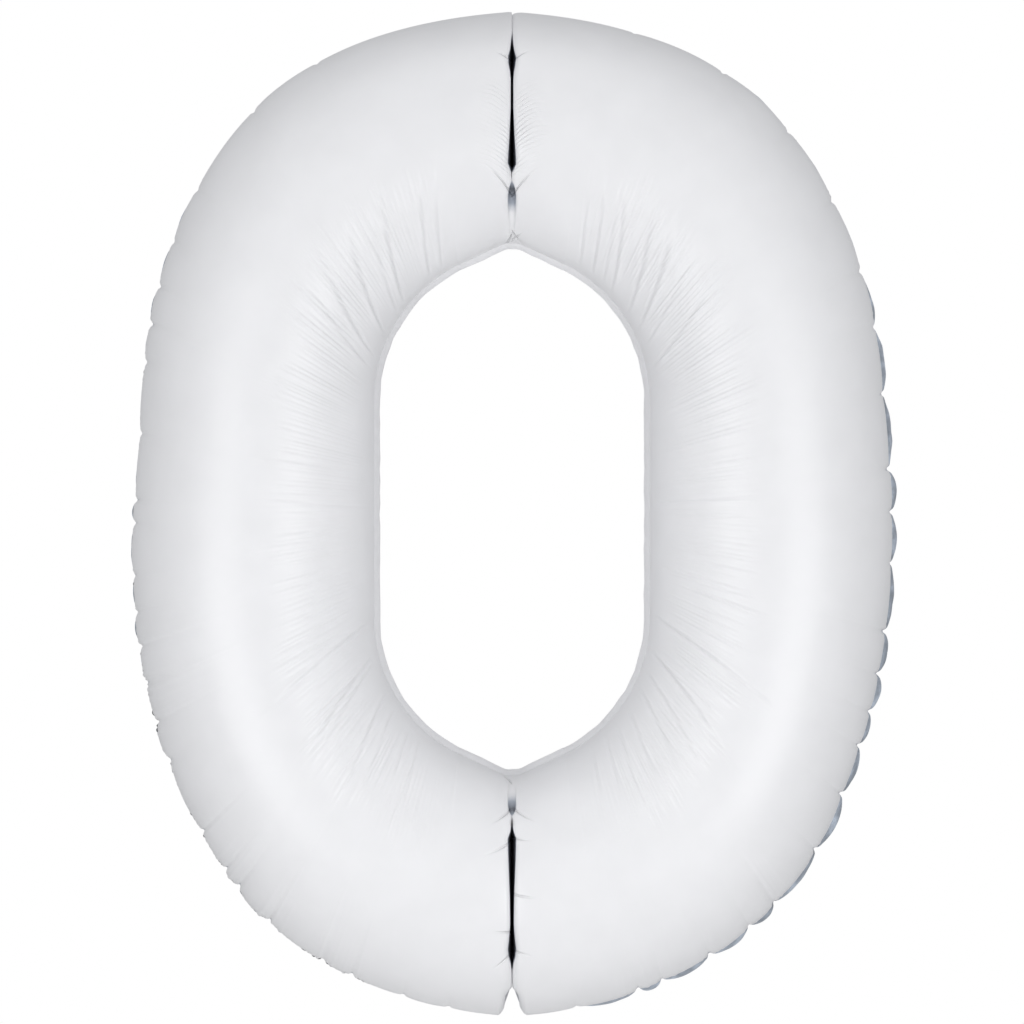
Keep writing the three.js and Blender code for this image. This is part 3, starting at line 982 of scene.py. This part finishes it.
def film_crinkle():
    """Height of the film's finest crinkle: a faint grain over soft dents, and the dents alone."""
    name = "Film Crinkle"
    inputs = (("Grain Scale", 900.0), ("Dent Scale", 26.0), ("Dent Amount", 0.5))
    tree = group_tree(name, inputs, ("Height", "Cloud"))
    if tree:
        given = tree.nodes["Group Input"].outputs
        grain = noise(tree, given["Grain Scale"], 2)
        dents = noise(tree, given["Dent Scale"], 3)
        weighed = product(tree, dents, given["Dent Amount"])
        total = calculate(tree, "MULTIPLY_ADD", grain, 0.035, weighed)
        result = tree.nodes["Group Output"].inputs
        tree.links.new(total, result["Height"])
        tree.links.new(dents, result["Cloud"])
    return bpy.data.node_groups[name]


def fold_line():
    """Height of one creased line that runs out from a slit, up or down, and bends level."""
    name = "Fold Line"
    inputs = (("Side", 1.0), ("Start", 0.0), ("Slope", 1.0), ("Bend", 0.0), ("Reach", 0.020),
              ("Width", 0.001))
    tree = group_tree(name, inputs, ("Height",))
    if tree:
        given = tree.nodes["Group Input"].outputs
        x, z = place_of(tree)
        out = calculate(tree, "MULTIPLY", x, given["Side"])
        curve = calculate(tree, "SUBTRACT", given["Slope"], product(tree, given["Bend"], out))
        line = calculate(tree, "MULTIPLY_ADD", curve, out, given["Start"])
        offset = calculate(tree, "DIVIDE", calculate(tree, "SUBTRACT", z, line), given["Width"])
        valley = calculate(tree, "EXPONENT", product(tree, offset, offset, -1.0))
        fade = fade_out(tree, out, 0.002, given["Reach"])
        beside = calculate(tree, "GREATER_THAN", out, 0.0)
        height = product(tree, valley, fade, beside, -1.0)
        tree.links.new(height, tree.nodes["Group Output"].inputs["Height"])
    return bpy.data.node_groups[name]


def slit_chevrons():
    """Height of the fine arcs that slope up and away from the upper slit on both sides."""
    name = "Slit Chevrons"
    inputs = (("Pitch", 0.0040), ("Reach", 0.036), ("Slope", 0.95), ("Bend", 15.0))
    tree = group_tree(name, inputs, ("Height",))
    if tree:
        given = tree.nodes["Group Input"].outputs
        x, z = place_of(tree)
        out = calculate(tree, "ABSOLUTE", x)
        curve = calculate(tree, "SUBTRACT", given["Slope"], product(tree, given["Bend"], out))
        level = calculate(tree, "SUBTRACT", z, product(tree, curve, out))
        uneven = calculate(tree, "MULTIPLY_ADD", noise(tree, 40, 1), 0.006, level)
        turn = calculate(tree, "DIVIDE", uneven, given["Pitch"])
        wave = calculate(tree, "SINE", product(tree, turn, 2 * math.pi))
        ridge = calculate(tree, "POWER", calculate(tree, "MAXIMUM", wave, 0.0), 3.0)
        near = fade_out(tree, out, 0.006, given["Reach"])
        from_middle = calculate(tree, "ABSOLUTE", calculate(tree, "ADD", level, 0.113))
        level_fade = fade_out(tree, from_middle, 0.022, 0.048)
        patchy = calculate(tree, "SUBTRACT", 1.6, product(tree, noise(tree, 45, 1), 1.8))
        height = product(tree, ridge, near, level_fade, patchy, -1.0)
        tree.links.new(height, tree.nodes["Group Output"].inputs["Height"])
    return bpy.data.node_groups[name]


# Creases that run out from the slits: side, height of the start, slope, bend, reach and width.
SLIT_CREASES = (
    (-1, -0.1615, 1.60, 22, 0.026, 0.0010), (1, -0.1620, 1.45, 20, 0.024, 0.0009),
    (-1, -0.0490, 0.90, 20, 0.016, 0.0008), (1, -0.0490, 0.95, 20, 0.016, 0.0008),
    (-1, -0.6795, -0.80, -8, 0.021, 0.0010), (1, -0.6780, -0.75, -10, 0.024, 0.0010),
    (-1, -0.7055, -0.70, -10, 0.028, 0.0010), (1, -0.7030, -0.12, -2, 0.018, 0.0008),
    (1, -0.7487, -0.35, -9, 0.026, 0.0009), (-1, -0.7815, 0.02, 1, 0.019, 0.0008),
    (-1, -0.7990, -1.10, -14, 0.020, 0.0010), (1, -0.7965, -0.45, -8, 0.018, 0.0009),
    (1, -0.1900, -1.30, -30, 0.014, 0.0009), (-1, -0.1925, -1.50, -20, 0.016, 0.0009),
    (1, -0.1965, 0.60, 10, 0.010, 0.0008), (-1, -0.6590, 0.90, 10, 0.010, 0.0008),
)


# ---------------------------------------------------------------- materials

def principled(name):
    material = bpy.data.materials.new(name)
    material.use_nodes = True
    return material, material.node_tree, material.node_tree.nodes["Principled BSDF"]


def satin_coat(tree, shader, colour, crinkle):
    """Roughness that varies with the dents, and a colour that does so very slightly."""
    rough = finish().roughness
    tree.links.new(value_range(tree, crinkle.outputs["Cloud"], rough - 0.04, rough + 0.05),
                   shader.inputs["Roughness"])
    faded = tuple(c * 0.975 for c in colour)
    return colour_ramp(tree, crinkle.outputs["Cloud"], ((0.3, faded), (0.7, colour)))


def white_film_material():
    """Satin white coat, with painted shade from blue-grey to near black where the mesh's shade attribute
    marks the slits and the tucks.
    """
    material, tree, shader = principled("White satin film")
    crinkle = add_group(tree, film_crinkle, Grain_Scale=1100, Dent_Scale=30, Dent_Amount=0.9)
    coat = satin_coat(tree, shader, tuple(finish().film_colour), crinkle)
    # Painted shade: the slits and the tucks are painted blue-grey to near black, by the mesh's
    # attribute.
    painted_shade = tree.nodes.new("ShaderNodeAttribute")
    painted_shade.attribute_name = "painted_shade"
    shade_tint = colour_ramp(tree, painted_shade.outputs["Fac"], (
        (0.0, (1, 1, 1)), (0.35, (0.42, 0.46, 0.52)), (1.0, tuple(finish().painted_shade_colour))))
    mix = tree.nodes.new("ShaderNodeMix")
    mix.data_type = "RGBA"
    mix.blend_type = "MULTIPLY"
    mix.inputs["Factor"].default_value = 1
    tree.links.new(coat, mix.inputs["A"])
    tree.links.new(shade_tint, mix.inputs["B"])
    tree.links.new(mix.outputs["Result"], shader.inputs["Base Color"])
    tree.links.new(slit_normal(tree, crinkle), shader.inputs["Normal"])
    return material


def slit_normal(tree, crinkle):
    """The film's crinkle, with the creases beside the slits on top."""
    chevron_depth = 0.42
    height = product(tree, add_group(tree, slit_chevrons).outputs["Height"], chevron_depth)
    for side, start, slope, bend, reach, width in SLIT_CREASES:
        line = add_group(tree, fold_line, Side=side, Start=start, Slope=slope, Bend=bend, Reach=reach,
                         Width=width)
        height = calculate(tree, "ADD", height, line.outputs["Height"])
    fine = bump_from(tree, crinkle.outputs["Height"], 0.0006, 0.35)
    return bump_from(tree, height, wrinkles().slit_crease_depth, 1.0, before=fine)


def plain_film_material(name, colour):
    """The same satin coat without the slits, for the rim of the hole, the tail and the tabs."""
    material, tree, shader = principled(name)
    crinkle = add_group(tree, film_crinkle, Grain_Scale=1300, Dent_Scale=110, Dent_Amount=0.8)
    tree.links.new(satin_coat(tree, shader, colour, crinkle), shader.inputs["Base Color"])
    tree.links.new(bump_from(tree, crinkle.outputs["Height"], 0.0005, 0.4), shader.inputs["Normal"])
    return material


def shaded_margin_material():
    """Half-metallic film in a dark blue-grey that is painted shade on the welded margins, with the fine
    print of the welding jaws.
    """
    material, tree, shader = principled("Welded margin film, shaded")
    # Painted shade: the margins and welds take this dark blue-grey instead of the film's white.
    colour = tuple(finish().margin_shade_colour)
    crinkle = add_group(tree, film_crinkle, Grain_Scale=1500, Dent_Scale=70, Dent_Amount=0.8)
    dark = tuple(c * 0.72 for c in colour)
    light = tuple(min(c * 1.5, 1) for c in colour)
    tone = colour_ramp(tree, crinkle.outputs["Cloud"], ((0.34, dark), (0.5, colour), (0.66, light)))
    tree.links.new(tone, shader.inputs["Base Color"])
    shader.inputs["Metallic"].default_value = 0.45
    tree.links.new(value_range(tree, crinkle.outputs["Cloud"], 0.3, 0.46), shader.inputs["Roughness"])
    tree.links.new(bump_from(tree, crinkle.outputs["Height"], 0.0005, 0.4), shader.inputs["Normal"])
    return material


def valve_material():
    """Milky polyethylene."""
    material, tree, shader = principled("Valve film")
    crinkle = add_group(tree, film_crinkle, Grain_Scale=1400, Dent_Scale=90, Dent_Amount=0.7)
    milky = ((0.3, (0.66, 0.69, 0.72)), (0.7, (0.78, 0.8, 0.82)))
    tone = colour_ramp(tree, crinkle.outputs["Cloud"], milky)
    tree.links.new(tone, shader.inputs["Base Color"])
    tree.links.new(value_range(tree, crinkle.outputs["Cloud"], 0.42, 0.56), shader.inputs["Roughness"])
    tree.links.new(bump_from(tree, crinkle.outputs["Height"], 0.0004, 0.4), shader.inputs["Normal"])
    return material


def place_piece(thing, material, body, node):
    """Dresses a piece, hangs it on its body and lets it stand for its CAD node."""
    thing.data.materials.append(material)
    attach(thing, body)
    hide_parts(node)


# ---------------------------------------------------------------- operators

class BALLOON_OT_stage(bpy.types.Operator):
    """Make the pale floor, the soft lights and the camera"""
    bl_idname = "balloon.stage"
    bl_label = "Stage"

    def execute(self, context):
        context.scene.view_settings.view_transform = "Standard"
        self.make_world(context.scene)
        self.make_floor(context.scene)
        self.make_lights(context.scene)
        self.make_camera(context.scene)
        return {"FINISHED"}

    def make_world(self, scene):
        """White all round to look at, and a quieter light to be lit by."""
        world = bpy.data.worlds.new("Studio")
        world.use_nodes = True
        scene.world = world
        tree = world.node_tree
        seen = tree.nodes["Background"]
        seen.inputs["Color"].default_value = (1, 1, 1, 1)
        lit = tree.nodes.new("ShaderNodeBackground")
        lit.inputs["Color"].default_value = (0.97, 0.98, 1, 1)
        lit.inputs["Strength"].default_value = studio().fill_light
        self.mix_by_camera(tree, lit.outputs["Background"], seen.outputs["Background"],
                           tree.nodes["World Output"])

    def make_floor(self, scene):
        size = 30.0
        mesh = bpy.data.meshes.new("floor")
        corners = [(-size, -size, 0), (size, -size, 0), (size, size, 0), (-size, size, 0)]
        mesh.from_pydata(corners, [], [(0, 1, 2, 3)])
        floor = bpy.data.objects.new("floor", mesh)
        floor.location.z = CAD_LOW.z - studio().floor_drop
        scene.collection.objects.link(floor)
        material, tree, shader = principled("Pale floor")
        shader.inputs["Base Color"].default_value = (0.75, 0.75, 0.75, 1)
        shader.inputs["Roughness"].default_value = 0.9
        glow = tree.nodes.new("ShaderNodeEmission")
        self.mix_by_camera(tree, shader.outputs["BSDF"], glow.outputs["Emission"],
                           tree.nodes["Material Output"])
        floor.data.materials.append(material)

    def mix_by_camera(self, tree, lit, seen, output):
        """One shader for the light that bounces, another for what is looked at."""
        path = tree.nodes.new("ShaderNodeLightPath")
        mix = tree.nodes.new("ShaderNodeMixShader")
        tree.links.new(path.outputs["Is Camera Ray"], mix.inputs["Fac"])
        tree.links.new(lit, mix.inputs[1])
        tree.links.new(seen, mix.inputs[2])
        tree.links.new(mix.outputs["Shader"], output.inputs["Surface"])

    def make_lights(self, scene):
        middle = Vector((0, 0, CENTRE_Z))
        power = studio().key_power
        lights = (
            ("left_box", (-1.5, -2.3, -0.46), 1.5, power),
            ("right_box", (1.5, -2.3, -0.46), 1.5, 1.05 * power),
            ("overhead_box", (0, -0.9, 2.4), 1.6, studio().overhead_power),
            ("rear_box", (0, 4.0, 0), 1.0, studio().rear_power),
        )
        for name, offset, size, watts in lights:
            data = bpy.data.lights.new(name, "AREA")
            data.size = size
            data.energy = watts
            light = bpy.data.objects.new(name, data)
            light.location = middle + Vector(offset)
            light.rotation_mode = "QUATERNION"
            light.rotation_quaternion = (middle - light.location).to_track_quat("-Z", "Y")
            scene.collection.objects.link(light)

    def make_camera(self, scene):
        """A long lens straight in front, with the balloon filling the height of the frame."""
        share_of_frame = 0.981
        above_middle = 1.6 * MM
        data = bpy.data.cameras.new("camera")
        data.sensor_width = 36
        height = (CAD_HIGH.z - CAD_LOW.z) / share_of_frame
        data.lens = data.sensor_width * studio().distance / height
        camera = bpy.data.objects.new("camera", data)
        camera.location = (0, -studio().distance, CENTRE_Z + above_middle)
        camera.rotation_mode = "QUATERNION"
        camera.rotation_quaternion = Vector((0, 1, 0)).to_track_quat("-Z", "Y")
        scene.collection.objects.link(camera)
        scene.camera = camera


class BALLOON_OT_films(bpy.types.Operator):
    """Make the front and back films"""
    bl_idname = "balloon.films"
    bl_label = "Films"

    def execute(self, context):
        material = white_film_material()
        sheets = (("front_sheet", "front_film", FRONT), ("back_sheet", "back_film", BACK))
        for name, node, face in sheets:
            film = film_mesh(name, face)
            place_piece(film, material, "balloon", node)
        return {"FINISHED"}


class BALLOON_OT_margins(bpy.types.Operator):
    """Make the welded margins round the outside and round the hole"""
    bl_idname = "balloon.margins"
    bl_label = "Margins"

    def execute(self, context):
        notches = NOTCH["top"], NOTCH["bottom"]
        outer = join_lobes("outer_margin", outer_margin_points, notches, flip=True)
        place_piece(outer, shaded_margin_material(), "balloon", "outer_seam")
        hole = join_lobes("hole_margin", hole_margin_points, (0, 0), flip=False)
        rim = plain_film_material("White rim film", tuple(finish().rim_colour))
        place_piece(hole, rim, "balloon", "hole_seam")
        return {"FINISHED"}


class BALLOON_OT_welds(bpy.types.Operator):
    """Make the welds across the tube, at the bottom of the slits"""
    bl_idname = "balloon.welds"
    bl_label = "Welds"

    def execute(self, context):
        material = shaded_margin_material()
        top = weld_strip("top_weld", TOP_WELD_LOW.z, TOP_WELD_HIGH.z)
        place_piece(top, material, "balloon", "top_centre_weld")
        notch = CENTRE_Z - HALF_HEIGHT + NOTCH["bottom"]
        bottom = weld_strip("bottom_weld", notch, BOTTOM_WELD_HIGH.z)
        place_piece(bottom, material, "balloon", "bottom_centre_weld")
        return {"FINISHED"}


class BALLOON_OT_tail(bpy.types.Operator):
    """Make the filling tail that is folded up behind, and its valve"""
    bl_idname = "balloon.tail"
    bl_label = "Filling tail"

    def execute(self, context):
        film = plain_film_material("White tail film", tuple(finish().film_colour))
        for layer, node in enumerate(("filling_tail_back_ply", "filling_tail_front_ply")):
            ply = tail_ply(f"tail_ply_{layer + 1}", node, layer)
            place_piece(ply, film, "filling_tail", node)
        clear = valve_material()
        plies = (("valve_front", "valve_front_ply", FRONT), ("valve_back", "valve_back_ply", BACK))
        for name, node, side in plies:
            ply = valve_ply(name, node, side)
            place_piece(ply, clear, "balloon", node)
        return {"FINISHED"}


class BALLOON_OT_tabs(bpy.types.Operator):
    """Make the hanging tabs"""
    bl_idname = "balloon.tabs"
    bl_label = "Hanging tabs"

    def execute(self, context):
        film = plain_film_material("White tab film", tuple(finish().film_colour))
        for side in ("left", "right"):
            tab = tab_mesh(f"{side}_tab_film", f"{side}_tab_fold")
            place_piece(tab, film, f"{side}_tab", f"hang_tab_{side}")
        return {"FINISHED"}


class BALLOON_PT_panel(bpy.types.Panel):
    """Lists the balloon's operators and settings"""
    bl_label = "Foil number balloon"
    bl_idname = "BALLOON_PT_panel"
    bl_space_type = "VIEW_3D"
    bl_region_type = "UI"
    bl_category = "Balloon"

    def draw(self, context):
        layout = self.layout
        for operator in OPERATORS:
            layout.operator(operator.bl_idname)
        for group in (shape(), wrinkles(), finish(), studio()):
            box = layout.box()
            for label in group.__annotations__:
                box.prop(group, label)


OPERATORS = (
    BALLOON_OT_stage, BALLOON_OT_films, BALLOON_OT_margins, BALLOON_OT_welds, BALLOON_OT_tail,
    BALLOON_OT_tabs,
)
GROUPS = (
    (BalloonShape, "balloon_shape"), (BalloonWrinkles, "balloon_wrinkles"),
    (BalloonFinish, "balloon_finish"), (BalloonStudio, "balloon_studio"),
)


def register():
    for group, label in GROUPS:
        bpy.utils.register_class(group)
        setattr(bpy.types.Scene, label, PointerProperty(type=group))
    for operator in OPERATORS:
        bpy.utils.register_class(operator)
    bpy.utils.register_class(BALLOON_PT_panel)


def unregister():
    bpy.utils.unregister_class(BALLOON_PT_panel)
    for operator in reversed(OPERATORS):
        bpy.utils.unregister_class(operator)
    for group, label in reversed(GROUPS):
        delattr(bpy.types.Scene, label)
        bpy.utils.unregister_class(group)


def main():
    register()
    bpy.ops.balloon.stage()
    bpy.ops.balloon.films()
    bpy.ops.balloon.margins()
    bpy.ops.balloon.welds()
    bpy.ops.balloon.tail()
    bpy.ops.balloon.tabs()


if __name__ == "__main__":
    main()
